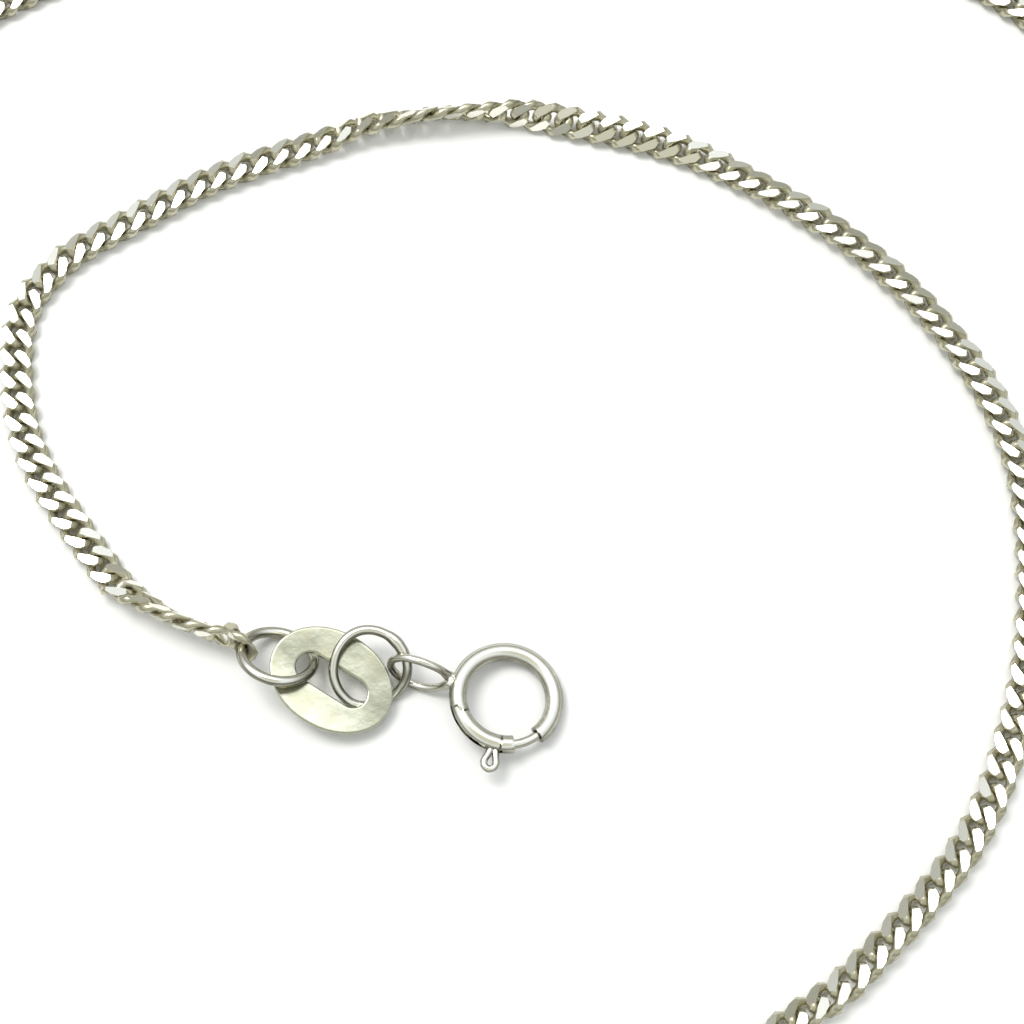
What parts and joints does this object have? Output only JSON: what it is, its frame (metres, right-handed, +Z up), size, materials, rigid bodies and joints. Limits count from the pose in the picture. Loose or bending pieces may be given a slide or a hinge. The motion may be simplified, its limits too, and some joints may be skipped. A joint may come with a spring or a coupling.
{
  "type": "curb chain necklace",
  "caption": "Fine curb chain necklace with jump rings, a slotted oval tag and a bolt ring clasp, laid down in a loose loop.",
  "frame": {"origin": "under the middle of the laid necklace, on the surface it lies on", "axes": "+Z up from the surface, +Y away from the viewer across the laid loop, +X to the viewer's right"},
  "size_m": [0.0878, 0.0898, 0.0026],
  "materials": {
    "chain_metal": "polished silver with diamond-cut faces",
    "ring_metal": "polished drawn silver wire, lightly worn",
    "tag_metal": "satin silver, worn and dented",
    "clasp_metal": "polished silver, lightly scratched"
  },
  "bodies": {
    "necklace": {"inner_chain": "chain_metal", "outer_chain": "chain_metal", "first_link": "chain_metal", "last_link": "chain_metal", "chain_ring": "ring_metal", "clasp_ring": "ring_metal", "end_ring": "ring_metal", "tag": "tag_metal", "clasp_case": "clasp_metal"},
    "bolt": {"clasp_bolt": "clasp_metal"}
  },
  "joints": [
    {"name": "bolt_slide", "type": "hinge", "parent": "necklace", "child": "bolt", "pos_m": [0.00073, -0.00404, 0.00083], "axis": [-0.1564, -0.0878, -0.9838], "range_deg": [0, 45], "stiffness_Nm_per_rad": 0.003, "springref_deg": -8.59}
  ]
}
